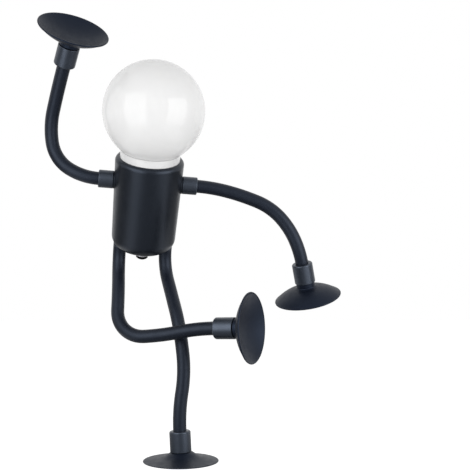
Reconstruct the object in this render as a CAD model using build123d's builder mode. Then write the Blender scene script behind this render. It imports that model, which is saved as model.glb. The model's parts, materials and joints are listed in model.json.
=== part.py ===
from build123d import *
from math import cos, radians, sin, sqrt
import os

# Suction cup lamp: a glowing ball on a small round body with four bendable limbs, each with a
# suction cup at its end. It stands on one cup, waves one arm and lifts one leg.
# The origin is the middle of the standing cup's face. +Z is up, +X is the viewer's right and
# +Y is away from the viewer. Lengths are in millimetres and angles in degrees.

os.makedirs("parts", exist_ok=True)

# Clearances
running_gap = 0.1
thread_gap = 0.05
seam_gap = 0.3

# Limbs: a soft sleeve over a bendable metal core, in five stretches from the body outwards.
# The first, third and fifth stretches bend, and the two between them stay as they are.
sleeve_radius = 5.3
core_radius = 3.0
core_bore_radius = 1.3
arm_lengths = (25, 26, 25, 20, 20)
leg_lengths = (28, 31, 39, 30, 30)

# Bend of each stretch, and the turn of its bending plane before it
left_arm_bends = (30, 50, 34, 3, 5)
left_arm_turns = (44, -24, -40, -13, -11)
right_arm_bends = (12, 8, 27, 17, 19)
right_arm_turns = (-53, 14, 13, 9, 42)
raised_leg_bends = (61, -7, 85, 8, -13)
raised_leg_turns = (86, -15, -47, -1, -17)

# The standing leg is walked from its foot up to the body, and its collar leans to the left
standing_foot_lean = 3
standing_foot_turn = 13
standing_leg_bends = (12, -15, -36, 5, 65)
standing_leg_turns = (0, -17, -71, -17, 22)
body_turn = 75

# Cup collars and cups
collar_radius = 8.4
collar_length = 16.5
collar_round = 1.2
collar_low_round = 0.5
collar_core_depth = 8.0
cup_neck_radius = 6.6
cup_neck_depth = 6.0
cup_height = 14.0
cup_radius = 27.4
cup_lip_width = 1.4
cup_lip_thickness = 0.8
cup_back_radius = 7.6
cup_back_start = 4.0
cup_back_bulge = 1.6
cup_floor_thickness = 5.4
pressed_cup_height = 7.2
pressed_cup_radius = 29.8
pressed_lip_thickness = 0.6
pressed_top_inset = 0.3
pressed_flare_radius = 11.0
pressed_flare_drop = 1.7
pressed_skirt_radius = 17.0
pressed_skirt_drop = 4.6

# Body shell, in the body's own frame: Z along its axis, zero at the rim, X through the arms
shell_top_radius = 27.5
shell_low_radius = 26.2
shell_wall = 2.0
rim_round = 3.5
bottom_round = 10.5
shoulder_drop = 21.2
hip_inset = 7.2

# Neck ring, which snaps into the shell and carries the light
neck_height = 6.0
neck_depth = 9.0
neck_wall = 3.0
neck_shelf_inset = 1.5
neck_shelf_height = 3.0
snap_drop = 5.0
snap_height = 0.4
deck_top = -2.0
deck_thickness = 2.0

# Globe, with a skirt that twists into the neck ring
globe_radius = 40.0
globe_wall = 1.6
globe_seam_inset = 0.2
skirt_wall = 1.6
skirt_depth = 5.2
lug_count = 3
lug_arc = 20.0
lug_height = 2.0
lug_reach = 1.3
twist_angle = 30.0
twist_play = 1.0

# Light plate and its screws
plate_inset = 2.9
plate_thickness = 1.6
chip_size = 3.5
chip_height = 0.7
chip_ring_inset = 4.5
chip_ring_count = 8
screw_circle_inset = 3.0
screw_count = 3
screw_radius = 1.25
screw_head_radius = 2.25
screw_head_height = 1.5
screw_slot_width = 0.6
screw_slot_length = 3.2
screw_length = 7.0
screw_boss_radius = 2.8
screw_boss_height = 4.0

# Inner frame, battery and circuit board
frame_disc_thickness = 2.0
frame_top_inset = 0.5
frame_low_gap = 2.0
cradle_wall = 1.6
cell_radius = 9.15
cell_length = 50.0
cell_nub_radius = 2.8
cell_nub_height = 1.0
cell_round = 0.6
cell_back_shift = -1.5
contact_size = 9.0
contact_thickness = 0.4
contact_wire_radius = 0.3
contact_coil_radius = 3.5
contact_turns = 2.5
contact_spring_room = 3.2
board_top_gap = 6.0
board_seat = 2.0
board_thickness = 1.2
board_back_shift = 14.0
rail_width = 2.5
rail_depth = 4.0
rail_groove = 1.0
rail_clearance = 0.2
socket_width = 9.0
socket_height = 3.2
socket_wall = 0.3
socket_floor = 1.2
socket_lift = 10.0
socket_inset = 0.9
tongue_width = 6.5
tongue_thickness = 0.7
wire_radius = 0.6
wire_bend = 1.0
wire_strip = 3.0
light_wire_spread = 4.6
switch_wire_spread = 3.0

# Push switch in the bottom
switch_body_radius = 6.5
switch_body_height = 13.0
switch_wire_room = 2.0
switch_neck_radius = 4.4
switch_neck_length = 6.7
switch_wall = 1.5
bezel_radius = 5.6
bezel_height = 7.4
bezel_round = 0.4
cap_radius = 4.9
cap_dome_height = 2.0
cap_side_height = 2.8
switch_stem_radius = 1.6
switch_piston_radius = 3.2
switch_piston_height = 1.5
switch_travel = 1.9
switch_wire_radius = 0.25
switch_coil_radius = 2.4
switch_coil_turns = 6

# Limb roots: arm collars outside the shell, leg ends in its floor, and their nuts
arm_collar_radius = 7.15
arm_collar_length = 12.2
arm_collar_round = 0.8
arm_boss_rise = 0.3
arm_boss_depth = 4.1
arm_core_depth = 9.0
leg_root_height = 5.5
leg_core_depth = 4.5
leg_nut_seat = 11.0
leg_boss_wall = 1.2
stud_radius = 2.5
nut_flats = 8.0
nut_height = 4.0
stud_past_nut = 1.0
cut_margin = 1.0

# Sizes that follow from the ones above
opening_radius = shell_top_radius - rim_round
shelf_radius = opening_radius - neck_shelf_inset
hip_spread = shell_low_radius - hip_inset
leg_boss_radius = sleeve_radius + leg_boss_wall
ring_radius = opening_radius - running_gap
ring_bore = ring_radius - neck_wall
skirt_radius = ring_bore - running_gap
seam_height = neck_height + seam_gap
seam_radius = ring_radius - globe_seam_inset
globe_rise = seam_height + sqrt(globe_radius**2 - seam_radius**2)
plate_radius = ring_bore - plate_inset
screw_circle_radius = plate_radius - screw_circle_inset
chip_ring_radius = screw_circle_radius - chip_ring_inset
frame_top = deck_top - deck_thickness
frame_top_radius = ring_bore - frame_top_inset
contact_face = frame_top - frame_disc_thickness - contact_thickness
cell_base = contact_face - cell_length
frame_low_height = cell_base - contact_spring_room - contact_thickness
switch_top = frame_low_height - frame_disc_thickness - switch_wire_room
shell_length = shell_wall + switch_body_height - switch_top
board_top = frame_top - frame_disc_thickness - board_top_gap
board_bottom = frame_low_height + board_seat
socket_rise = board_bottom + socket_lift
rail_reach = sqrt((shelf_radius - rail_clearance) ** 2 - (board_back_shift + rail_depth / 2) ** 2)
board_edge = rail_reach - (rail_width - rail_groove)
board_width = 2 * board_edge


def save(name, solid):
    """Label one finished piece and write it to its own file."""
    solid.label = name
    export_step(solid, f"parts/{name}.step")


def turned(plane, angle):
    """The plane turned about its own Z axis."""
    return Plane(plane.location * Location((0, 0, 0), (0, 0, angle)))


def arc_end(plane, length, bend):
    """The plane at the far end of a stretch that bends toward the plane's X axis."""
    if bend == 0:
        return Plane(plane.location * Location((0, 0, length)))
    arc_radius = length / radians(bend)
    side = arc_radius * (1 - cos(radians(bend)))
    rise = arc_radius * sin(radians(bend))
    return Plane(plane.location * Location((side, 0, rise), (0, bend, 0)))


def route(start, lengths, bends, turns):
    """The start plane of every stretch of a limb, and the plane where the limb ends."""
    planes = []
    plane = start
    for length, bend, turn in zip(lengths, bends, turns):
        plane = turned(plane, turn)
        planes.append(plane)
        plane = arc_end(plane, length, bend)
    return planes, plane


def tube(plane, length, bend, radius, bore):
    """A stretch of round tube, straight or bent toward the plane's X axis."""
    with BuildPart() as piece:
        with BuildSketch(plane):
            Circle(radius)
            Circle(bore, mode=Mode.SUBTRACT)
        if bend == 0:
            extrude(amount=length)
        else:
            centre = plane.from_local_coords((length / radians(bend), 0, 0))
            way = plane.y_dir if bend > 0 else -plane.y_dir
            revolve(axis=Axis(centre, way), revolution_arc=abs(bend))
    return piece.part


def joined(first, second):
    """Two touching stretches as one piece."""
    with BuildPart() as piece:
        add(first)
        add(second)
    return piece.part


def coil(foot, height, radius, turns, wire):
    """A round wire wound along Z, with its ends just clear of the two seats."""
    rise = height - 2 * (wire + thread_gap)
    with BuildPart() as piece:
        with BuildLine() as winding:
            Helix(pitch=rise / turns, height=rise, radius=radius)
        with BuildSketch(Plane(origin=winding.line @ 0, z_dir=winding.line % 0)):
            Circle(wire)
        sweep(path=winding.wires()[0], is_frenet=True)
    return piece.part.moved(Location((0, 0, foot + wire + thread_gap)))


def shell_radius(height):
    """Outer radius of the shell's slightly tapered wall at a height below its rim."""
    taper = (shell_top_radius - shell_low_radius) / (shell_length - rim_round - bottom_round)
    return shell_top_radius + taper * (height + rim_round)


def hexagon_nut(plane):
    """One of the nuts that hold the limbs, standing on a plane."""
    with BuildPart() as piece:
        with BuildSketch(plane):
            RegularPolygon(nut_flats / 2, 6, major_radius=False, rotation=30)
            Circle(stud_radius + thread_gap, mode=Mode.SUBTRACT)
        extrude(amount=nut_height)
    return piece.part


# Where the body sits: up the standing leg from the foot
foot_top = Plane(Location((0, 0, pressed_cup_height), (0, -standing_foot_lean, 0)))
foot_end = Plane(foot_top.location * Location((0, 0, collar_length)))
ankle = turned(foot_end, standing_foot_turn)
standing_planes, standing_hip = route(
    ankle, leg_lengths[::-1], standing_leg_bends, standing_leg_turns
)
hip_plane = turned(standing_hip, body_turn)
body = hip_plane.location * Location((-hip_spread, 0, shell_length))


# Limb roots, in the body's own frame
def body_plane(origin, x_dir, z_dir):
    """A plane given in the body's frame, placed in the lamp."""
    return Plane(body * Plane(origin, x_dir, z_dir).location)


arm_seat = shell_radius(-shoulder_drop) + arm_boss_rise
arm_nut_seat = arm_seat - arm_boss_depth
arm_end = arm_seat + arm_collar_length
left_shoulder = body_plane((-arm_end, 0, -shoulder_drop), (0, 0, 1), (-1, 0, 0))
right_shoulder = body_plane((arm_end, 0, -shoulder_drop), (0, 0, -1), (1, 0, 0))
raised_hip = body_plane((-hip_spread, 0, -shell_length), (1, 0, 0), (0, 0, -1))


# Body shell
cavity_top = -neck_depth - neck_shelf_height
slope_top = cavity_top - (shell_wall + neck_shelf_inset)
inner_round = bottom_round - shell_wall
with BuildPart() as cavity:
    with BuildSketch(Plane.XZ):
        with BuildLine():
            floor_radius = shell_low_radius - bottom_round
            floor_height = shell_wall - shell_length
            corner_height = bottom_round - shell_length
            l1 = Polyline(
                (0, neck_height),
                (opening_radius, neck_height),
                (opening_radius, -snap_drop + snap_height + running_gap),
                (opening_radius + snap_height + running_gap, -snap_drop),
                (opening_radius, -snap_drop - snap_height - running_gap),
                (opening_radius, -neck_depth),
                (shelf_radius, -neck_depth),
                (shelf_radius, cavity_top),
                (shell_radius(slope_top) - shell_wall, slope_top),
                (shell_low_radius - shell_wall, corner_height),
            )
            l2 = RadiusArc(l1 @ 1, (floor_radius, floor_height), inner_round)
            l3 = Polyline(l2 @ 1, (0, floor_height), (0, neck_height))
        make_face()
    revolve(axis=Axis.Z)
    for side in (-1, 1):
        with Locations(Location((side * arm_nut_seat, 0, -shoulder_drop), (0, side * 90, 0))):
            Cylinder(
                arm_collar_radius,
                shell_top_radius,
                align=(Align.CENTER, Align.CENTER, Align.MIN),
                mode=Mode.SUBTRACT,
            )
        with Locations((side * hip_spread, 0, -shell_length)):
            Cylinder(
                leg_boss_radius,
                leg_nut_seat,
                align=(Align.CENTER, Align.CENTER, Align.MIN),
                mode=Mode.SUBTRACT,
            )

with BuildPart() as body_shell:
    with BuildSketch(Plane.XZ):
        with BuildLine():
            l1 = Line((0, -shell_length), (floor_radius, -shell_length))
            l2 = RadiusArc(l1 @ 1, (shell_low_radius, corner_height), -bottom_round)
            l3 = Line(l2 @ 1, (shell_top_radius, -rim_round))
            l4 = RadiusArc(l3 @ 1, (opening_radius, 0), -rim_round)
            l5 = Polyline(l4 @ 1, (0, 0), (0, -shell_length))
        make_face()
    revolve(axis=Axis.Z)
    for side in (-1, 1):
        with Locations(Location((0, 0, -shoulder_drop), (0, side * 90, 0))):
            Cylinder(
                arm_collar_radius, arm_seat, align=(Align.CENTER, Align.CENTER, Align.MIN)
            )
    add(cavity.part, mode=Mode.SUBTRACT)
    for side in (-1, 1):
        with Locations(Location((0, 0, -shoulder_drop), (0, side * 90, 0))):
            Cylinder(
                stud_radius + running_gap,
                arm_seat + cut_margin,
                align=(Align.CENTER, Align.CENTER, Align.MIN),
                mode=Mode.SUBTRACT,
            )
        with Locations((side * hip_spread, 0, -shell_length)):
            Cylinder(
                sleeve_radius + running_gap,
                leg_root_height,
                align=(Align.CENTER, Align.CENTER, Align.MIN),
                mode=Mode.SUBTRACT,
            )
            Cylinder(
                stud_radius + running_gap,
                leg_nut_seat + cut_margin,
                align=(Align.CENTER, Align.CENTER, Align.MIN),
                mode=Mode.SUBTRACT,
            )
    with Locations((0, 0, -shell_length)):
        Cylinder(
            switch_neck_radius + running_gap,
            shell_wall * 2,
            mode=Mode.SUBTRACT,
        )
    with BuildSketch(Plane.XZ.offset(-shell_top_radius)):
        with Locations((0, socket_rise)):
            SlotOverall(
                socket_width + 2 * running_gap,
                socket_height + 2 * running_gap,
            )
    extrude(amount=shell_top_radius - board_back_shift, mode=Mode.SUBTRACT)
save("body_shell", body_shell.part.moved(body))

# Neck ring with its light deck
wire_face = board_back_shift - wire_radius - running_gap
lug_top = seam_height - skirt_depth + lug_height
with BuildPart() as neck_ring:
    with BuildSketch(Plane.XZ):
        with BuildLine():
            Polyline(
                (ring_bore, -neck_depth),
                (ring_radius, -neck_depth),
                (ring_radius, -snap_drop - snap_height),
                (ring_radius + snap_height, -snap_drop),
                (ring_radius, -snap_drop + snap_height),
                (ring_radius, neck_height),
                (ring_bore, neck_height),
                (ring_bore, deck_top),
                (0, deck_top),
                (0, deck_top - deck_thickness),
                (ring_bore, deck_top - deck_thickness),
                close=True,
            )
        make_face()
    revolve(axis=Axis.Z)
    for lug in range(lug_count):
        start = lug * 360 / lug_count
        groove = Plane(Location((0, 0, 0), (0, 0, start - twist_play)) * Plane.XZ.location)
        with BuildSketch(groove):
            with Locations((ring_bore + lug_reach / 2, lug_top - lug_height / 2)):
                Rectangle(lug_reach + 2 * running_gap, lug_height + 2 * running_gap)
        revolve(
            axis=Axis.Z,
            revolution_arc=lug_arc + twist_angle + 2 * twist_play,
            mode=Mode.SUBTRACT,
        )
        entry = Plane(
            Location((0, 0, 0), (0, 0, start + twist_angle - twist_play)) * Plane.XZ.location
        )
        with BuildSketch(entry):
            with Locations((ring_bore + lug_reach / 2, (lug_top + neck_height) / 2)):
                Rectangle(lug_reach + 2 * running_gap, neck_height - lug_top + 2 * running_gap)
        revolve(axis=Axis.Z, revolution_arc=lug_arc + 2 * twist_play, mode=Mode.SUBTRACT)
    with PolarLocations(screw_circle_radius, screw_count, start_angle=90):
        Cylinder(screw_radius + running_gap, neck_depth * 2, mode=Mode.SUBTRACT)
    for side in (-1, 1):
        with Locations((side * light_wire_spread, wire_face)):
            Cylinder(wire_radius + running_gap, neck_depth * 2, mode=Mode.SUBTRACT)
save("neck_ring", neck_ring.part.moved(body))

# Globe
inner_globe_radius = globe_radius - globe_wall
inner_seam = seam_height + globe_wall
inner_seam_radius = sqrt(inner_globe_radius**2 - (globe_rise - inner_seam) ** 2)
with BuildPart() as globe:
    with BuildSketch(Plane.XZ):
        with BuildLine():
            l1 = Polyline(
                (skirt_radius - skirt_wall, inner_seam),
                (skirt_radius - skirt_wall, seam_height - skirt_depth),
                (skirt_radius, seam_height - skirt_depth),
                (skirt_radius, seam_height),
                (seam_radius, seam_height),
            )
            l2 = ThreePointArc(
                l1 @ 1, (globe_radius, globe_rise), (0, globe_rise + globe_radius)
            )
            l3 = Line(l2 @ 1, (0, globe_rise + inner_globe_radius))
            l4 = ThreePointArc(
                l3 @ 1, (inner_globe_radius, globe_rise), (inner_seam_radius, inner_seam)
            )
            l5 = Line(l4 @ 1, l1 @ 0)
        make_face()
    revolve(axis=Axis.Z)
    for lug in range(lug_count):
        start = lug * 360 / lug_count
        side_plane = Plane(Location((0, 0, 0), (0, 0, start)) * Plane.XZ.location)
        with BuildSketch(side_plane):
            with Locations((skirt_radius + lug_reach / 2 - globe_wall / 4, lug_top - lug_height / 2)):
                Rectangle(lug_reach + globe_wall / 2, lug_height)
        revolve(axis=Axis.Z, revolution_arc=lug_arc)
save("globe", globe.part.moved(body))

# Light plate, its chips and the screws that hold plate, ring and frame together
plate_top = deck_top + plate_thickness
with BuildPart() as led_plate:
    with Locations((0, 0, deck_top)):
        Cylinder(plate_radius, plate_thickness, align=(Align.CENTER, Align.CENTER, Align.MIN))
    with PolarLocations(screw_circle_radius, screw_count, start_angle=90):
        Cylinder(screw_radius + running_gap, neck_depth, mode=Mode.SUBTRACT)
save("led_plate", led_plate.part.moved(body))

with BuildPart() as led_chips:
    with BuildSketch(Plane.XY.offset(plate_top)):
        Rectangle(chip_size, chip_size)
        with PolarLocations(chip_ring_radius, chip_ring_count, start_angle=45 / 2):
            Rectangle(chip_size, chip_size)
    extrude(amount=chip_height)
save("led_chips", led_chips.part.moved(body))

with BuildPart() as frame_screws:
    with PolarLocations(screw_circle_radius, screw_count, start_angle=90):
        with Locations((0, 0, plate_top)):
            Cylinder(
                screw_head_radius,
                screw_head_height,
                align=(Align.CENTER, Align.CENTER, Align.MIN),
            )
            Cylinder(screw_radius, screw_length, align=(Align.CENTER, Align.CENTER, Align.MAX))
            with Locations((0, 0, screw_head_height)):
                Box(
                    screw_slot_length,
                    screw_slot_width,
                    screw_head_height,
                    mode=Mode.SUBTRACT,
                )
save("frame_screws", frame_screws.part.moved(body))

# Inner frame with its battery cradle and board rails
cradle_radius = cell_radius + seam_gap
frame_low_radius = shell_radius(frame_low_height - frame_disc_thickness) - shell_wall - frame_low_gap
board_front = board_back_shift
board_back = board_back_shift + board_thickness
with BuildPart() as inner_frame:
    with BuildSketch(Plane.XY.offset(frame_top - frame_disc_thickness)):
        Circle(frame_top_radius)
    extrude(amount=frame_disc_thickness)
    with BuildSketch(Plane.XY.offset(frame_low_height - frame_disc_thickness)):
        Circle(frame_low_radius)
    extrude(amount=frame_disc_thickness)
    with BuildSketch(Plane.XY.offset(frame_low_height)):
        with Locations((0, cell_back_shift)):
            Circle(cradle_radius + cradle_wall)
            Circle(cradle_radius, mode=Mode.SUBTRACT)
            with Locations((0, cell_radius * 2)):
                Rectangle(cell_radius * 4, cell_radius * 4, mode=Mode.SUBTRACT)
    extrude(amount=frame_top - frame_disc_thickness - frame_low_height)
    with BuildSketch(Plane.XY.offset(frame_low_height)):
        for side in (-1, 1):
            with Locations((side * (board_edge + rail_width / 2 - rail_groove), board_front)):
                Rectangle(rail_width, rail_depth)
        with Locations((0, board_front + board_thickness / 2)):
            Rectangle(
                board_width + 2 * running_gap,
                board_thickness + 2 * running_gap,
                mode=Mode.SUBTRACT,
            )
    extrude(amount=board_top - frame_low_height)
    with PolarLocations(screw_circle_radius, screw_count, start_angle=90):
        with Locations((0, 0, frame_top)):
            Cylinder(
                screw_boss_radius,
                screw_boss_height + frame_disc_thickness,
                align=(Align.CENTER, Align.CENTER, Align.MAX),
            )
            Cylinder(
                screw_radius + thread_gap,
                screw_boss_height + frame_disc_thickness,
                align=(Align.CENTER, Align.CENTER, Align.MAX),
                mode=Mode.SUBTRACT,
            )
    for side in (-1, 1):
        with Locations((side * light_wire_spread, wire_face, frame_top)):
            Cylinder(wire_radius + running_gap, 3 * frame_disc_thickness, mode=Mode.SUBTRACT)
        with Locations((side * switch_wire_spread, wire_face, frame_low_height)):
            Cylinder(wire_radius + running_gap, 3 * frame_disc_thickness, mode=Mode.SUBTRACT)
save("inner_frame", inner_frame.part.moved(body))

# Battery cell between its two contacts
with BuildPart() as battery_cell:
    with Locations((0, cell_back_shift, cell_base)):
        Cylinder(
            cell_radius,
            cell_length - cell_nub_height,
            align=(Align.CENTER, Align.CENTER, Align.MIN),
        )
    fillet(battery_cell.edges().filter_by(GeomType.CIRCLE), radius=cell_round)
    with Locations((0, cell_back_shift, contact_face)):
        Cylinder(
            cell_nub_radius,
            cell_nub_height * 2,
            align=(Align.CENTER, Align.CENTER, Align.MAX),
        )
save("battery_cell", battery_cell.part.moved(body))

contact_spring = coil(
    frame_low_height + contact_thickness,
    cell_base - frame_low_height - contact_thickness,
    contact_coil_radius,
    contact_turns,
    contact_wire_radius,
)
with BuildPart() as battery_contacts:
    for face in (contact_face, frame_low_height):
        with Locations((0, cell_back_shift, face)):
            Box(
                contact_size,
                contact_size,
                contact_thickness,
                align=(Align.CENTER, Align.CENTER, Align.MIN),
            )
    add(contact_spring.moved(Location((0, cell_back_shift, 0))))
save("battery_contacts", battery_contacts.part.moved(body))

# Circuit board with its chips, and the charging socket at the back
with BuildPart() as circuit_board:
    with Locations((0, (board_front + board_back) / 2, (board_top + board_bottom) / 2)):
        Box(board_width, board_thickness, board_top - board_bottom)
chip_spots = ((-6, 14, 7, 7, 1.6), (7, 12, 5, 4, 1.2), (5, 24, 6, 6, 3.0), (-7, 26, 4, 5, 1.4))
with BuildPart() as board_chips:
    for across, drop, width, height, depth in chip_spots:
        with Locations((across, board_front, board_top - drop)):
            Box(width, depth, height, align=(Align.CENTER, Align.MAX, Align.CENTER))
board_parts = Compound(children=[circuit_board.part, board_chips.part])
save("circuit_board", board_parts.moved(body))

socket_mouth = shell_radius(socket_rise) - socket_inset
with BuildPart() as charging_socket:
    with BuildSketch(Plane.XZ.offset(-board_back)):
        with Locations((0, socket_rise)):
            SlotOverall(socket_width, socket_height)
    extrude(amount=board_back - socket_mouth)
    with BuildSketch(Plane.XZ.offset(-board_back - socket_floor)):
        with Locations((0, socket_rise)):
            SlotOverall(socket_width - 2 * socket_wall, socket_height - 2 * socket_wall)
            Rectangle(tongue_width, tongue_thickness, mode=Mode.SUBTRACT)
    extrude(amount=board_back + socket_floor - socket_mouth, mode=Mode.SUBTRACT)
save("charging_socket", charging_socket.part.moved(body))

# Push switch
floor_inside = shell_wall - shell_length
neck_end = floor_inside - switch_neck_length
chamber_floor = neck_end + switch_neck_length - switch_wall
chamber_top = floor_inside + switch_body_height - switch_wall
chamber_radius = switch_piston_radius + running_gap
with BuildPart() as switch_housing:
    with BuildSketch(Plane.XZ):
        with BuildLine():
            Polyline(
                (switch_stem_radius + running_gap, neck_end),
                (switch_neck_radius, neck_end),
                (switch_neck_radius, floor_inside),
                (switch_body_radius, floor_inside),
                (switch_body_radius, floor_inside + switch_body_height),
                (0, floor_inside + switch_body_height),
                (0, chamber_top),
                (chamber_radius, chamber_top),
                (chamber_radius, chamber_floor),
                (switch_stem_radius + running_gap, chamber_floor),
                close=True,
            )
        make_face()
    revolve(axis=Axis.Z)
save("switch_housing", switch_housing.part.moved(body))

bezel_end = -shell_length - bezel_height
with BuildPart() as switch_bezel:
    with BuildSketch(Plane.XZ):
        with BuildLine():
            Polyline(
                (switch_neck_radius + thread_gap, -shell_length),
                (bezel_radius, -shell_length),
                (bezel_radius, bezel_end),
                (cap_radius + running_gap, bezel_end),
                (cap_radius + running_gap, neck_end),
                (switch_neck_radius + thread_gap, neck_end),
                close=True,
            )
        make_face()
    revolve(axis=Axis.Z)
    outer_edge = switch_bezel.edges().filter_by(GeomType.CIRCLE).group_by(Axis.Z)[0]
    fillet(outer_edge.sort_by(SortBy.RADIUS)[-1], radius=bezel_round)
save("switch_bezel", switch_bezel.part.moved(body))

cap_top = neck_end - switch_travel - running_gap
cap_side_end = cap_top - cap_side_height
piston_foot = chamber_floor + thread_gap
with BuildPart() as switch_button:
    with BuildSketch(Plane.XZ):
        with BuildLine():
            dome_radius = (cap_radius**2 + cap_dome_height**2) / (2 * cap_dome_height)
            l1 = Polyline(
                (0, piston_foot + switch_piston_height),
                (switch_piston_radius, piston_foot + switch_piston_height),
                (switch_piston_radius, piston_foot),
                (switch_stem_radius, piston_foot),
                (switch_stem_radius, cap_top),
                (cap_radius, cap_top),
                (cap_radius, cap_side_end),
            )
            l2 = RadiusArc(l1 @ 1, (0, cap_side_end - cap_dome_height), dome_radius)
            l3 = Line(l2 @ 1, l1 @ 0)
        make_face()
    revolve(axis=Axis.Z)
save("switch_button", switch_button.part.moved(body))

spring_foot = piston_foot + switch_piston_height
switch_spring = coil(
    spring_foot,
    chamber_top - spring_foot,
    switch_coil_radius,
    switch_coil_turns,
    switch_wire_radius,
)
save("switch_spring", switch_spring.moved(body))

# Arm collars: a round collar outside the shell and a threaded stud through its wall
for name, side in (("left_arm_collar", -1), ("right_arm_collar", 1)):
    with BuildPart() as arm_collar:
        with BuildSketch(Plane.XY.offset(arm_seat)):
            Circle(arm_collar_radius)
        extrude(amount=arm_collar_length)
        fillet(arm_collar.edges().filter_by(GeomType.CIRCLE), radius=arm_collar_round)
        with BuildSketch(Plane.XY.offset(arm_end)):
            Circle(core_radius + running_gap)
        extrude(amount=-arm_core_depth, mode=Mode.SUBTRACT)
        with BuildSketch(Plane.XY.offset(arm_nut_seat - nut_height - stud_past_nut)):
            Circle(stud_radius)
        extrude(amount=arm_seat - arm_nut_seat + nut_height + stud_past_nut)
    placed = body * Location((0, 0, -shoulder_drop), (0, side * 90, 0))
    save(name, arm_collar.part.moved(placed))

# Leg roots in the shell's floor
with BuildPart() as leg_roots:
    for side in (-1, 1):
        with Locations((side * hip_spread, 0, -shell_length)):
            Cylinder(
                sleeve_radius,
                leg_root_height,
                align=(Align.CENTER, Align.CENTER, Align.MIN),
            )
            Cylinder(
                stud_radius,
                leg_nut_seat + nut_height + stud_past_nut,
                align=(Align.CENTER, Align.CENTER, Align.MIN),
            )
            Cylinder(
                core_radius + running_gap,
                leg_core_depth,
                align=(Align.CENTER, Align.CENTER, Align.MIN),
                mode=Mode.SUBTRACT,
            )
save("leg_roots", leg_roots.part.moved(body))

# Four equal nuts on the limb studs
with BuildPart() as limb_nuts:
    for side in (-1, 1):
        add(hexagon_nut(Plane((side * arm_nut_seat, 0, -shoulder_drop), (0, 0, 1), (-side, 0, 0))))
        add(hexagon_nut(Plane((side * hip_spread, 0, leg_nut_seat - shell_length))))
save("limb_nuts", limb_nuts.part.moved(body))

# Wires: from the board to the light plate, the battery contacts and the switch
wire_paths = []
for side in (-1, 1):
    wire_paths.append(
        (
            (side * light_wire_spread, wire_face, board_top - wire_strip),
            (side * light_wire_spread, wire_face, deck_top),
        )
    )
    wire_paths.append(
        (
            (side * switch_wire_spread, wire_face, board_bottom + wire_strip),
            (side * switch_wire_spread, wire_face, switch_top + wire_radius + seam_gap),
            (side * switch_wire_spread, wire_bend, switch_top + wire_radius + running_gap),
        )
    )
with BuildPart() as lamp_wires:
    for path in wire_paths:
        with BuildLine() as line:
            if len(path) == 2:
                Line(*path)
            else:
                FilletPolyline(*path, radius=wire_bend)
        with BuildSketch(Plane(origin=line.line @ 0, z_dir=line.line % 0)):
            Circle(wire_radius)
        sweep(path=line.wires()[0])
save("lamp_wires", lamp_wires.part.moved(body))


# Collars and cups at the limb ends, built along +Z from the limb's last plane
with BuildPart() as cup_collar:
    with BuildSketch(Plane.XY):
        Circle(collar_radius)
    extrude(amount=collar_length)
    collar_edges = cup_collar.edges().filter_by(GeomType.CIRCLE).sort_by(Axis.Z)
    fillet(collar_edges[0], radius=collar_round)
    fillet(collar_edges[-1], radius=collar_low_round)
    with BuildSketch(Plane.XY):
        Circle(core_radius + running_gap)
    extrude(amount=collar_core_depth, mode=Mode.SUBTRACT)
    with BuildSketch(Plane.XY.offset(collar_length)):
        Circle(cup_neck_radius + running_gap)
    extrude(amount=-cup_neck_depth, mode=Mode.SUBTRACT)

with BuildPart() as free_cup:
    with BuildSketch(Plane.XZ):
        with BuildLine():
            edge_height = cup_height - cup_lip_thickness
            middle_radius = (cup_back_radius + cup_radius) / 2
            middle_height = (cup_back_start + edge_height) / 2 - cup_back_bulge
            l1 = Polyline(
                (0, running_gap - cup_neck_depth),
                (cup_neck_radius, running_gap - cup_neck_depth),
                (cup_neck_radius, 0),
                (cup_back_radius, 0),
                (cup_back_radius, cup_back_start),
            )
            l2 = ThreePointArc(l1 @ 1, (middle_radius, middle_height), (cup_radius, edge_height))
            l3 = Polyline(l2 @ 1, (cup_radius, cup_height), (cup_radius - cup_lip_width, cup_height))
            hollow_radius = cup_radius - cup_lip_width
            hollow_depth = cup_height - cup_floor_thickness
            dome_radius = (hollow_radius**2 + hollow_depth**2) / (2 * hollow_depth)
            l4 = RadiusArc(l3 @ 1, (0, cup_floor_thickness), dome_radius)
            l5 = Line(l4 @ 1, l1 @ 0)
        make_face()
    revolve(axis=Axis.Z)

# The pressed cup stands flat in the lamp's own frame, and its neck leans with the collar
with BuildPart() as pressed_cup:
    with BuildSketch(Plane.XZ):
        with BuildLine():
            top_radius = collar_radius - pressed_top_inset
            l1 = Polyline(
                (0, 0),
                (pressed_cup_radius, 0),
                (pressed_cup_radius, pressed_lip_thickness),
            )
            l2 = Spline(
                l1 @ 1,
                (pressed_skirt_radius, pressed_cup_height - pressed_skirt_drop),
                (pressed_flare_radius, pressed_cup_height - pressed_flare_drop),
                (top_radius, pressed_cup_height),
            )
            l3 = Polyline(
                l2 @ 1,
                (top_radius, pressed_cup_height + cut_margin),
                (0, pressed_cup_height + cut_margin),
                l1 @ 0,
            )
        make_face()
    revolve(axis=Axis.Z)
    split(bisect_by=foot_top, keep=Keep.BOTTOM)
    with BuildSketch(foot_top):
        Circle(cup_neck_radius)
    extrude(amount=cup_neck_depth - running_gap)


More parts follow.
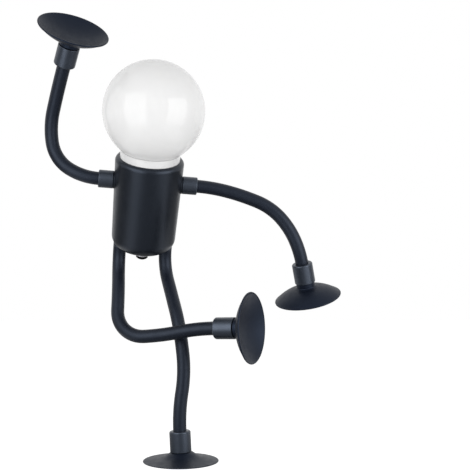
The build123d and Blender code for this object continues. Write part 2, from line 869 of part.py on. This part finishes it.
def save_limb(limb, end, words, planes, lengths, bends, order, root_depth, far, cup):
    """Write a limb's sleeves, cores, collar and cup.

    The order lists the stretches from the body outwards, and root_depth is how far the first core
    reaches into the body. Far is the plane where the collar starts, and the cup comes placed.
    """
    bore = core_radius + running_gap
    sleeves = []
    cores = []
    for index in order:
        sleeves.append(tube(planes[index], lengths[index], bends[index], sleeve_radius, bore))
        cores.append(
            tube(planes[index], lengths[index], bends[index], core_radius, core_bore_radius)
        )
    for word, sleeve in zip(words[0], sleeves):
        save(f"{limb}_{word}", sleeve)
    depth = collar_core_depth - running_gap
    tip = tube(far, depth, 0, core_radius, core_bore_radius)
    root = root_depth - running_gap
    inner_end = planes[order[0]]
    if order[0] == 0:
        inner_end = Plane(inner_end.location * Location((0, 0, -root)))
    else:
        inner_end = arc_end(inner_end, lengths[order[0]], bends[order[0]])
    first = tube(inner_end, root, 0, core_radius, core_bore_radius)
    save(f"{limb}_{words[1][0]}", joined(joined(first, cores[0]), cores[1]))
    save(f"{limb}_{words[1][1]}", joined(cores[2], cores[3]))
    save(f"{limb}_{words[1][2]}", joined(cores[4], tip))
    save(f"{end}_collar", cup_collar.part.moved(far.location))
    save(f"{end}_cup", cup)


arm_words = (
    ("shoulder_bend", "upper_sleeve", "elbow_bend", "lower_sleeve", "wrist_bend"),
    ("shoulder_core", "elbow_core", "wrist_core"),
)
leg_words = (
    ("hip_bend", "upper_sleeve", "knee_bend", "lower_sleeve", "ankle_bend"),
    ("hip_core", "knee_core", "ankle_core"),
)
outward = tuple(range(len(arm_lengths)))
cup_seat = Location((0, 0, collar_length))
planes, hand = route(left_shoulder, arm_lengths, left_arm_bends, left_arm_turns)
save_limb(
    "left_arm", "left_hand", arm_words, planes, arm_lengths, left_arm_bends,
    outward, arm_core_depth, hand, free_cup.part.moved(hand.location * cup_seat),
)
planes, hand = route(right_shoulder, arm_lengths, right_arm_bends, right_arm_turns)
save_limb(
    "right_arm", "right_hand", arm_words, planes, arm_lengths, right_arm_bends,
    outward, arm_core_depth, hand, free_cup.part.moved(hand.location * cup_seat),
)
planes, foot = route(raised_hip, leg_lengths, raised_leg_bends, raised_leg_turns)
save_limb(
    "raised_leg", "raised_foot", leg_words, planes, leg_lengths, raised_leg_bends,
    outward, leg_core_depth, foot, free_cup.part.moved(foot.location * cup_seat),
)
standing_foot = Plane(foot_end.origin, foot_end.x_dir, -foot_end.z_dir)
save_limb(
    "standing_leg", "standing_foot", leg_words, standing_planes, leg_lengths[::-1],
    standing_leg_bends, outward[::-1], leg_core_depth, standing_foot, pressed_cup.part,
)
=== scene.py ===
import json
from math import cos, pi, radians, sin, tan

import bmesh
import bpy
from mathutils import Matrix, Vector


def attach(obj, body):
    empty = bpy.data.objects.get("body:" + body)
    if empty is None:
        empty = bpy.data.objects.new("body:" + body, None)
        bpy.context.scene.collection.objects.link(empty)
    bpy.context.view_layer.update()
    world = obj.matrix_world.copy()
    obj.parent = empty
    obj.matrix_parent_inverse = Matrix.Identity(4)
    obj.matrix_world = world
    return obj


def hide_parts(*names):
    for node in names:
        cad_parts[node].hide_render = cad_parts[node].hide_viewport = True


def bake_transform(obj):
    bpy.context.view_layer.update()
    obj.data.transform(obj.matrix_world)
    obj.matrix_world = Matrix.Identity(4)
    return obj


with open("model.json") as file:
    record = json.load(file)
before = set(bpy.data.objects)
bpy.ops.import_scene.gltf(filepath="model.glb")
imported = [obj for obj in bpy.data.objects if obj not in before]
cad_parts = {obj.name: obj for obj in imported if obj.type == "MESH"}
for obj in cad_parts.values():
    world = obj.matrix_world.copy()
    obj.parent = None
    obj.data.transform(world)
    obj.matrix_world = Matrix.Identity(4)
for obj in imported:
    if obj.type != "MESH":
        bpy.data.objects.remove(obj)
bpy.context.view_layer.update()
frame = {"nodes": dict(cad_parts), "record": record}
MM = 0.001

# Sizes repeated from the part's source, in millimetres and degrees
sleeve_radius = 5.3
core_radius = 3.0
arm_lengths = (25, 26, 25, 20, 20)
leg_lengths = (28, 31, 39, 30, 30)
left_arm = ((30, 50, 34, 3, 5), (44, -24, -40, -13, -11))
right_arm = ((12, 8, 27, 17, 19), (-53, 14, 13, 9, 42))
raised_leg = ((61, -7, 85, 8, -13), (86, -15, -47, -1, -17))
standing_leg = ((12, -15, -36, 5, 65), (0, -17, -71, -17, 22))
standing_foot_lean = 3
standing_foot_turn = 13
body_turn = 75
shell_length = 79.0
shell_top_radius = 27.5
shell_low_radius = 26.2
rim_round = 3.5
bottom_round = 10.5
shoulder_drop = 21.2
hip_spread = 19.0
arm_boss_rise = 0.3
arm_collar_length = 12.2
collar_length = 16.5
cup_neck_radius = 6.6
cup_neck_depth = 6.0
cup_radius = 27.4
cup_height = 14.0
cup_floor_thickness = 5.4
pressed_cup_radius = 29.8
pressed_cup_height = 7.2
arm_core_depth = 9.0
leg_core_depth = 4.5
collar_core_depth = 8.0
running_gap = 0.1

# Sizes of the look alone, in millimetres; the seam share is a part of one step along a limb
neck_depth = cup_neck_depth - running_gap
arm_root = arm_core_depth - running_gap
leg_root = leg_core_depth - running_gap
core_in_collar = collar_core_depth - 2 * running_gap
winding_radius = core_radius - 0.05
wire_step = 0.4
wire_groove = 0.25
seam_share = 0.02
neck_edge_radius = 6.2
neck_chamfer = 0.4
free_lip = 0.62
pressed_lip = 0.3
hollow_radius = 25.8


# Camera, with its focal length and the picture's width in pixels, its sensor in millimetres
picture_width = 470
focal_length = 875
sensor_width = 36.0
camera_tilt = 2.5
camera_data = bpy.data.cameras.new("photo_camera")
camera_data.sensor_width = sensor_width
camera_data.lens = focal_length / picture_width * sensor_width
camera_data.clip_start = 0.01
camera = bpy.data.objects.new("photo_camera", camera_data)
bpy.context.collection.objects.link(camera)
camera.location = (0.0427, -0.6971, 0.1479)
camera.rotation_euler = (radians(90 + camera_tilt), 0, 0)
bpy.context.scene.camera = camera


# Frames along the limbs
def moved(x=0.0, y=0.0, z=0.0):
    return Matrix.Translation((x, y, z))


def turned(angle):
    return Matrix.Rotation(radians(angle), 4, "Z")


def arc_end(start, length, bend):
    """The frame at the far end of a stretch that bends toward its own X axis."""
    if abs(bend) < 1e-6:
        return start @ moved(z=length)
    r = length / radians(bend)
    side = r * (1 - cos(radians(bend)))
    rise = r * sin(radians(bend))
    return start @ moved(x=side, z=rise) @ Matrix.Rotation(radians(bend), 4, "Y")


def route(start, lengths, bends, turns):
    """The frame where each stretch starts, and the frame at the end of the last one."""
    starts = []
    for length, bend, turn in zip(lengths, bends, turns):
        start = start @ turned(turn)
        starts.append(start)
        start = arc_end(start, length, bend)
    return starts, start


def frame_of(origin, x_dir, z_dir):
    """A frame at a point, from the directions of its X and Z axes."""
    x, z = Vector(x_dir).normalized(), Vector(z_dir).normalized()
    y = z.cross(x)
    m = Matrix.Identity(4)
    for i in range(3):
        m[i][0], m[i][1], m[i][2], m[i][3] = x[i], y[i], z[i], origin[i]
    return m


foot_top = moved(z=pressed_cup_height) @ Matrix.Rotation(radians(-standing_foot_lean), 4, "Y")
foot_end = foot_top @ moved(z=collar_length)
ankle = foot_end @ turned(standing_foot_turn)
up_starts, standing_hip = route(ankle, leg_lengths[::-1], *standing_leg)
body = standing_hip @ turned(body_turn) @ moved(x=-hip_spread, z=shell_length)

taper = (shell_top_radius - shell_low_radius) / (shell_length - rim_round - bottom_round)
arm_seat = shell_top_radius - taper * (shoulder_drop - rim_round) + arm_boss_rise
arm_end = arm_seat + arm_collar_length
left_shoulder = body @ frame_of((-arm_end, 0, -shoulder_drop), (0, 0, 1), (-1, 0, 0))
right_shoulder = body @ frame_of((arm_end, 0, -shoulder_drop), (0, 0, -1), (1, 0, 0))
raised_hip = body @ frame_of((-hip_spread, 0, -shell_length), (1, 0, 0), (0, 0, -1))
flip = Matrix.Rotation(pi, 4, "X")


def sampled(starts, lengths, bends, step=1.5):
    """Frames along each stretch, its two ends included."""
    out = []
    for start, length, bend in zip(starts, lengths, bends):
        count = max(6, round(length / step))
        out.append([arc_end(start, length * i / count, bend * i / count) for i in range(count + 1)])
    return out


def untwisted(frames):
    """The same centre line with frames that don't turn about it, so that a tube has no twist."""
    out = [frames[0].copy()]
    for f in frames[1:]:
        last = out[-1]
        old, new = last.to_3x3().col[2], f.to_3x3().col[2]
        rot = old.rotation_difference(new).to_matrix() @ last.to_3x3()
        m = rot.to_4x4()
        m.translation = f.translation
        out.append(m)
    return out


# Meshes
def make(name, bm, smooth=True):
    """An object of its own from a finished mesh."""
    bmesh.ops.recalc_face_normals(bm, faces=bm.faces)
    mesh = bpy.data.meshes.new(name)
    bm.to_mesh(mesh)
    bm.free()
    for p in mesh.polygons:
        p.use_smooth = smooth
    obj = bpy.data.objects.new(name, mesh)
    bpy.context.collection.objects.link(obj)
    return obj


def tube(name, frames, radii, sides=36):
    """A round tube along frames, with one radius per frame."""
    bm = bmesh.new()
    rings = []
    for f, r in zip(frames, radii):
        ring = []
        for i in range(sides):
            a = 2 * pi * i / sides
            ring.append(bm.verts.new((f @ Vector((r * cos(a), r * sin(a), 0))) * MM))
        rings.append(ring)
    for lower, upper in zip(rings, rings[1:]):
        for i in range(sides):
            j = (i + 1) % sides
            bm.faces.new((lower[i], lower[j], upper[j], upper[i]))
    for cap in (bm.faces.new(rings[0][::-1]), bm.faces.new(rings[-1])):
        for edge in cap.edges:
            edge.smooth = False
    return make(name, bm)


def lathe(name, place, profile, sides=112):
    """A closed turned form: profile runs from the axis to the axis as (radius, height).

    Place is the frame of the whole form, or a function that gives a frame for each height.
    """
    bm = bmesh.new()
    rings = []
    for r, z in profile:
        here = place(z) if callable(place) else place
        if r < 1e-6:
            rings.append([bm.verts.new((here @ Vector((0, 0, z))) * MM)])
            continue
        ring = []
        for i in range(sides):
            a = 2 * pi * i / sides
            ring.append(bm.verts.new((here @ Vector((r * cos(a), r * sin(a), z))) * MM))
        rings.append(ring)
    for lower, upper in zip(rings, rings[1:]):
        for i in range(sides):
            j = (i + 1) % sides
            if len(lower) == 1:
                bm.faces.new((lower[0], upper[j], upper[i]))
            elif len(upper) == 1:
                bm.faces.new((lower[i], lower[j], upper[0]))
            else:
                bm.faces.new((lower[i], lower[j], upper[j], upper[i]))
    return make(name, bm)


def smooth_line(points, per_span=8):
    """A soft curve through points of a profile, with each point kept."""
    out = []
    for i in range(len(points) - 1):
        p0 = Vector(points[max(i - 1, 0)])
        p1, p2 = Vector(points[i]), Vector(points[i + 1])
        p3 = Vector(points[min(i + 2, len(points) - 1)])
        for k in range(per_span):
            t = k / per_span
            a = 2 * p1 + (p2 - p0) * t
            b = (2 * p0 - 5 * p1 + 4 * p2 - p3) * t * t
            c = (3 * p1 - p0 - 3 * p2 + p3) * t**3
            out.append(tuple(0.5 * (a + b + c)))
    out.append(tuple(points[-1]))
    return out


def arc_points(centre, radius, first, last, count):
    """Points of an arc in a profile, from one angle to another."""
    out = []
    for i in range(count + 1):
        a = radians(first + (last - first) * i / count)
        out.append((centre[0] + radius * cos(a), centre[1] + radius * sin(a)))
    return out


# Materials
def linear(rgb):
    """A colour as the shader wants it, from one as a picture holds it."""
    return tuple(c / 12.92 if c <= 0.04045 else ((c + 0.055) / 1.055) ** 2.4 for c in rgb)


def finish(name, rgb, rough, grain=0.0, grain_size=0.6, mottle=0.06, mottle_size=14.0,
           rough_spread=0.05, metallic=0.0, specular=0.5, coat=0.0, coat_rough=0.1,
           lines=None, subsurface=0.0, painted_glow=0.0, tint=None):
    """A moulded, turned or coated surface: colour drift, uneven gloss and fine grain."""
    mat = bpy.data.materials.new(name)
    mat.use_nodes = True
    tree = mat.node_tree
    nodes, links = tree.nodes, tree.links
    shader = nodes["Principled BSDF"]
    shader.inputs["Metallic"].default_value = metallic
    shader.inputs["Specular IOR Level"].default_value = specular
    shader.inputs["Coat Weight"].default_value = coat
    shader.inputs["Coat Roughness"].default_value = coat_rough
    if tint:
        shader.inputs["Specular Tint"].default_value = tint + (1,)
    # Painted light: a white emission that makes a part glow though nothing lights it
    if painted_glow:
        shader.inputs["Emission Color"].default_value = (1, 1, 1, 1)
        shader.inputs["Emission Strength"].default_value = painted_glow
    if subsurface:
        shader.inputs["Subsurface Weight"].default_value = subsurface
        shader.inputs["Subsurface Radius"].default_value = (1.0, 0.95, 0.9)
        shader.inputs["Subsurface Scale"].default_value = 0.006
    place = nodes.new("ShaderNodeTexCoord")

    def noise(size_mm, detail, roughness=0.5):
        n = nodes.new("ShaderNodeTexNoise")
        n.inputs["Scale"].default_value = 1.0 / (size_mm * MM)
        n.inputs["Detail"].default_value = detail
        n.inputs["Roughness"].default_value = roughness
        links.new(place.outputs["Object"], n.inputs["Vector"])
        return n

    base = linear(rgb)
    drift = noise(mottle_size, 4.0)
    ramp = nodes.new("ShaderNodeValToRGB")
    ramp.color_ramp.elements[0].position = 0.3
    ramp.color_ramp.elements[1].position = 0.7
    ramp.color_ramp.elements[0].color = tuple(c * (1 - mottle) for c in base) + (1,)
    ramp.color_ramp.elements[1].color = tuple(min(1, c * (1 + mottle)) for c in base) + (1,)
    links.new(drift.outputs["Fac"], ramp.inputs["Fac"])
    links.new(ramp.outputs["Color"], shader.inputs["Base Color"])
    gloss = noise(mottle_size * 0.4, 3.0, 0.6)
    span = nodes.new("ShaderNodeMapRange")
    span.inputs["From Min"].default_value = 0.3
    span.inputs["From Max"].default_value = 0.7
    span.inputs["To Min"].default_value = max(0.02, rough - rough_spread)
    span.inputs["To Max"].default_value = min(1.0, rough + rough_spread)
    links.new(gloss.outputs["Fac"], span.inputs["Value"])
    links.new(span.outputs["Result"], shader.inputs["Roughness"])
    height = None
    if grain:
        fine = noise(grain_size, 2.0)
        height = fine.outputs["Fac"]
    if lines:
        wave = nodes.new("ShaderNodeTexWave")
        wave.wave_type = "BANDS"
        wave.bands_direction = lines[0]
        wave.inputs["Scale"].default_value = 1.0 / (lines[1] * MM) / 3.14
        wave.inputs["Distortion"].default_value = 0.4
        links.new(place.outputs["Object"], wave.inputs["Vector"])
        height = wave.outputs["Fac"]
    if height is not None:
        bump = nodes.new("ShaderNodeBump")
        bump.inputs["Strength"].default_value = grain or 0.3
        bump.inputs["Distance"].default_value = 0.0001
        links.new(height, bump.inputs["Height"])
        links.new(bump.outputs["Normal"], shader.inputs["Normal"])
    return mat


DARK_TINT = (0.66, 0.78, 1.0)
LOOKS = {
    "shell_plastic": dict(rgb=(0.03, 0.04, 0.06), rough=0.34, grain=0.22, grain_size=0.5,
                          specular=0.42, tint=DARK_TINT, rough_spread=0.04),
    "collar_plastic": dict(rgb=(0.03, 0.04, 0.06), rough=0.36, grain=0.2, grain_size=0.4,
                           specular=0.85, tint=DARK_TINT),
    "neck_plastic": dict(rgb=(0.85, 0.85, 0.85), rough=0.3, mottle=0.01, grain=0.05,
                         coat=0.3, coat_rough=0.08),
    # The globe's emission is painted light: the lamp is off, and it stands in for light scattered
    # through the milky globe onto its shaded underside
    "globe_plastic": dict(rgb=(0.77, 0.77, 0.77), rough=0.5, painted_glow=0.19, mottle=0.008, grain=0.03,
                          grain_size=2.0, mottle_size=30.0, rough_spread=0.02, specular=0.15,
                          coat=0.6, coat_rough=0.04, subsurface=0.4),
    "frame_plastic": dict(rgb=(0.88, 0.88, 0.86), rough=0.5, grain=0.3, mottle=0.03),
    "sleeve_silicone": dict(rgb=(0.04, 0.055, 0.09), rough=0.42, grain=0.3, grain_size=0.35,
                            specular=0.32, tint=DARK_TINT),
    "cup_silicone": dict(rgb=(0.035, 0.05, 0.085), rough=0.46, grain=0.25, grain_size=0.5,
                         specular=0.28, tint=(0.5, 0.66, 1.0), mottle=0.08),
    "core_steel": dict(rgb=(0.62, 0.62, 0.63), rough=0.32, metallic=1.0, grain=0.2),
    "screw_steel": dict(rgb=(0.72, 0.72, 0.71), rough=0.3, metallic=1.0, grain=0.2,
                        grain_size=0.3),
    "plate_aluminium": dict(rgb=(0.93, 0.93, 0.92), rough=0.35, mottle=0.02, grain=0.1),
    "chip_yellow": dict(rgb=(0.93, 0.82, 0.35), rough=0.4, mottle=0.08, mottle_size=1.2),
    "cell_wrap": dict(rgb=(0.18, 0.42, 0.66), rough=0.28, mottle=0.05, grain=0.1, coat=0.4),
    "contact_nickel": dict(rgb=(0.78, 0.77, 0.73), rough=0.25, metallic=1.0, grain=0.1),
    "board_green": dict(rgb=(0.07, 0.33, 0.19), rough=0.35, mottle=0.15, mottle_size=2.5,
                        grain=0.2, grain_size=0.8, coat=0.3),
    "socket_metal": dict(rgb=(0.75, 0.75, 0.75), rough=0.28, metallic=1.0, lines=("X", 0.2)),
    "bezel_chrome": dict(rgb=(0.8, 0.8, 0.82), rough=0.34, metallic=1.0, mottle=0.03,
                         rough_spread=0.03),
    "button_plastic": dict(rgb=(0.03, 0.035, 0.045), rough=0.4, grain=0.15, specular=0.12),
    "wire_cover": dict(rgb=(0.62, 0.08, 0.07), rough=0.45, mottle=0.06, grain=0.2),
}
MATERIALS = {slot: finish(slot, **look) for slot, look in LOOKS.items()}
SLOT_OF = {s["node"]: s["material_slot"] for s in frame["record"]["subparts"]}


def dress(obj, slot):
    """Gives a piece the finish of a material slot."""
    obj.data.materials.clear()
    obj.data.materials.append(MATERIALS[slot])


for node, obj in frame["nodes"].items():
    for place in obj.material_slots:
        place.material = MATERIALS[SLOT_OF[node]]


def outward(start, lengths, shape):
    """The stretches of a limb that is laid out from the body to its end."""
    starts, _ = route(start, lengths, *shape)
    return sampled(starts, lengths, shape[0])


def upward():
    """The stretches of the standing leg, laid out from the floor and turned to run downward."""
    stretches = sampled(up_starts, leg_lengths[::-1], standing_leg[0])
    return [[f @ flip for f in stretch[::-1]] for stretch in stretches[::-1]]


def dress_limb(limb, stretches, words, root):
    """The sleeve and the wound core of a limb, each in three pieces that bend at one joint.

    Stretches 1, 3 and 5 bend; 2 and 4 keep their shape. Returns the frame at the limb's end.
    """
    whole = []
    marks = []
    for stretch in stretches:
        marks.append(len(whole))
        whole += stretch if not whole else stretch[1:]
    marks = [0] + [m - 1 for m in marks[1:]] + [len(whole) - 1]
    whole = untwisted(whole)
    for k, word in enumerate(words):
        first, bend_end = marks[2 * k], marks[2 * k + 1]
        last = marks[2 * k + 2] if k < 2 else marks[-1]
        run = whole[first : last + 1]
        skin = [run[0], run[0].lerp(run[1], seam_share)] + run[1:-1]
        skin += [run[-1].lerp(run[-2], seam_share), run[-1]]
        sleeve = tube(f"{limb}_{word}_cover", skin, [sleeve_radius] * len(skin))
        dress(sleeve, "sleeve_silicone")
        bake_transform(sleeve)
        part = "upper_sleeve" if k == 0 else "lower_sleeve"
        names = [f"{limb}_{word}_bend"] + ([f"{limb}_{part}"] if k < 2 else [])
        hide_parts(*names)
        inside = list(run)
        if k == 0:
            inside.insert(0, run[0] @ moved(z=-root))
        if k == 2:
            inside.append(run[-1] @ moved(z=core_in_collar))
        wound = []
        for a, b in zip(inside, inside[1:]):
            count = max(2, round((b.translation - a.translation).length / wire_step))
            for i in range(count):
                wound.append(a.lerp(b, i / count))
        wound.append(inside[-1])
        radii = [winding_radius - wire_groove * (i % 4 in (0, 3)) for i in range(len(wound))]
        core = tube(f"{limb}_{word}_winding", wound, radii, sides=14)
        dress(core, "core_steel")
        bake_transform(core)
        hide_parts(f"{limb}_{word}_core")
    return whole[-1]


# Cups
def free_cup(name, place, body_name):
    """A relaxed cup: short neck, flaring skirt, thin rounded lip and a domed hollow."""
    back = smooth_line(
        ((7.6, 0.4), (7.6, 2.4), (7.7, 3.6), (9.4, 4.55), (12.8, 5.35), (17.6, 7.1), (22.6, 9.8),
         (26.8, 12.9)), 6
    )
    edge = arc_points((cup_radius - free_lip, cup_height - free_lip), free_lip, -45, 95, 8)
    rise = cup_height - 0.35
    r = (hollow_radius**2 + (rise - cup_floor_thickness) ** 2) / (2 * (rise - cup_floor_thickness))
    inner = []
    for i in range(19):
        x = hollow_radius * (1 - i / 18)
        inner.append((x, cup_floor_thickness + r - (r * r - x * x) ** 0.5))
    profile = [
        (0, -neck_depth), (neck_edge_radius, -neck_depth), (cup_neck_radius, -neck_depth + neck_chamfer),
        (cup_neck_radius, 0.03), (7.3, 0.03),
    ] + back + edge + [(26.3, cup_height - 0.05)] + inner
    cup = lathe(f"{name}_sucker", place, profile)
    dress(cup, "cup_silicone")
    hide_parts(name)
    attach(cup, body_name)


def leaning(height):
    """How the pressed cup's rings stand: flat at the floor, and with the collar at its top."""
    share = min(1.0, max(0.0, height / pressed_cup_height))
    share = share * share * (3 - 2 * share)
    lean = Matrix.Rotation(radians(-standing_foot_lean * share), 4, "Y")
    return moved(z=pressed_cup_height) @ lean @ moved(z=-pressed_cup_height)


def pressed_cup(name, body_name):
    """The cup that the lamp stands on, squeezed flat: a steep middle and a thin spread skirt."""
    top = pressed_cup_height
    edge = arc_points((pressed_cup_radius - pressed_lip, pressed_lip), pressed_lip, -90, 70, 6)
    back = smooth_line(
        ((29.2, 0.68), (24.5, 1.25), (17.0, 2.6), (13.4, 3.95), (11.0, 5.5), (9.3, 6.65),
         (8.15, top)), 8
    )
    profile = [(0, 0), (10, 0), (20, 0)] + edge + back
    profile += [
        (cup_neck_radius, top + 0.02), (cup_neck_radius, top + neck_depth - neck_chamfer),
        (neck_edge_radius, top + neck_depth), (0, top + neck_depth),
    ]
    cup = lathe(f"{name}_sucker", leaning, profile)
    dress(cup, "cup_silicone")
    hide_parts(name)
    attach(cup, body_name)


arm_words = ("shoulder", "elbow", "wrist")
leg_words = ("hip", "knee", "ankle")
hand = dress_limb("left_arm", outward(left_shoulder, arm_lengths, left_arm), arm_words,
                  arm_root)
free_cup("left_hand_cup", hand @ moved(z=collar_length), "left_hand")
hand = dress_limb("right_arm", outward(right_shoulder, arm_lengths, right_arm), arm_words,
                  arm_root)
free_cup("right_hand_cup", hand @ moved(z=collar_length), "right_hand")
foot = dress_limb("raised_leg", outward(raised_hip, leg_lengths, raised_leg), leg_words,
                  leg_root)
free_cup("raised_foot_cup", foot @ moved(z=collar_length), "raised_foot")
dress_limb("standing_leg", upward(), leg_words,
           leg_root)
pressed_cup("standing_foot_cup", "standing_foot")


# Floor, world and lamps, in metres
floor_side = 4.0
floor_cells = 24
floor_drop = 0.0002
camera_glow = 0.76
# Strength of the painted light in the two floor bands, seen only in reflections
painted_band_light = 0.75
world_light = 0.44


def background_rays(tree):
    """One for rays that look straight at the background or reflect it, and none for lighting."""
    path = tree.nodes.new("ShaderNodeLightPath")
    first = tree.nodes.new("ShaderNodeMath")
    first.operation = "MAXIMUM"
    second = tree.nodes.new("ShaderNodeMath")
    second.operation = "MAXIMUM"
    tree.links.new(path.outputs["Is Camera Ray"], first.inputs[0])
    tree.links.new(path.outputs["Is Glossy Ray"], first.inputs[1])
    tree.links.new(first.outputs[0], second.inputs[0])
    tree.links.new(path.outputs["Is Transmission Ray"], second.inputs[1])
    return second.outputs[0]


def floor_glow(tree):
    """Brightens the floor evenly for the camera, and paints two soft bands of light at its sides that
    only reflections see, as painted highlights on the dark shell.

    Other reflections show the floor as the lamps light it.
    """
    nodes, links = tree.nodes, tree.links
    path = nodes.new("ShaderNodeLightPath")
    place = nodes.new("ShaderNodeTexCoord")
    axes = nodes.new("ShaderNodeSeparateXYZ")
    links.new(place.outputs["Object"], axes.inputs["Vector"])
    way = nodes.new("ShaderNodeMath")
    way.operation = "ABSOLUTE"
    links.new(axes.outputs["X"], way.inputs[0])
    ramp = nodes.new("ShaderNodeValToRGB")
    ramp.color_ramp.interpolation = "EASE"
    for place_x, grey in ((0.1, 0.0), (0.18, painted_band_light), (0.28, painted_band_light), (0.40, 0.0)):
        mark = ramp.color_ramp.elements.new(place_x)
        mark.color = (grey, grey, grey, 1)
    ramp.color_ramp.elements[0].color = (0, 0, 0, 1)
    ramp.color_ramp.elements[-1].color = (0, 0, 0, 1)
    links.new(way.outputs["Value"], ramp.inputs["Fac"])
    seen = nodes.new("ShaderNodeMath")
    seen.operation = "MAXIMUM"
    links.new(path.outputs["Is Glossy Ray"], seen.inputs[0])
    links.new(path.outputs["Is Transmission Ray"], seen.inputs[1])
    part = nodes.new("ShaderNodeMath")
    part.operation = "MULTIPLY"
    links.new(seen.outputs[0], part.inputs[0])
    links.new(ramp.outputs["Color"], part.inputs[1])
    whole = nodes.new("ShaderNodeMath")
    whole.operation = "MULTIPLY_ADD"
    whole.inputs[1].default_value = camera_glow
    links.new(path.outputs["Is Camera Ray"], whole.inputs[0])
    links.new(part.outputs[0], whole.inputs[2])
    return whole.outputs[0]


bm = bmesh.new()
marks = [(i / floor_cells - 0.5) * floor_side for i in range(floor_cells + 1)]
grid = [[bm.verts.new((x, y, -floor_drop)) for x in marks] for y in marks]
for j in range(floor_cells):
    for i in range(floor_cells):
        bm.faces.new((grid[j][i], grid[j][i + 1], grid[j + 1][i + 1], grid[j + 1][i]))
floor = make("floor", bm, smooth=False)
floor_mat = bpy.data.materials.new("floor_pale")
floor_mat.use_nodes = True
tree = floor_mat.node_tree
shader = tree.nodes["Principled BSDF"]
shader.inputs["Base Color"].default_value = (0.56, 0.56, 0.56, 1)
shader.inputs["Roughness"].default_value = 0.9
shader.inputs["Specular IOR Level"].default_value = 0.1
shader.inputs["Emission Color"].default_value = (1, 1, 1, 1)
tree.links.new(floor_glow(tree), shader.inputs["Emission Strength"])
floor.data.materials.append(floor_mat)

world = bpy.data.worlds.new("studio")
bpy.context.scene.world = world
world.use_nodes = True
tree = world.node_tree
back = tree.nodes["Background"]
back.inputs["Color"].default_value = (1, 1, 1, 1)
span = tree.nodes.new("ShaderNodeMapRange")
span.inputs["To Min"].default_value = world_light
span.inputs["To Max"].default_value = 1.0
tree.links.new(background_rays(tree), span.inputs["Value"])
tree.links.new(span.outputs["Result"], back.inputs["Strength"])


def softbox(name, azimuth, distance, width, low, high, power):
    """A window-like lamp beside the camera: azimuth is measured from the camera's side."""
    middle = Vector((-0.021, -0.022, 0.0))
    a = radians(azimuth)
    place = middle + Vector((sin(a), -cos(a), 0)) * distance
    place.z = (low + high) / 2
    data = bpy.data.lights.new(name, "AREA")
    data.shape = "RECTANGLE"
    data.size = width
    data.size_y = high - low
    data.energy = power
    obj = bpy.data.objects.new(name, data)
    bpy.context.collection.objects.link(obj)
    obj.location = place
    way = Vector((-sin(a), cos(a), 0))
    obj.rotation_euler = way.to_track_quat("-Z", "Y").to_euler()
    obj.visible_camera = False


softbox("left_window", azimuth=-36.0, distance=0.36, width=0.33, low=0.01, high=0.47, power=1.22)
softbox("right_window", azimuth=58.0, distance=0.46, width=0.37, low=0.01, high=0.44, power=1.55)

bpy.context.scene.view_settings.view_transform = "Standard"
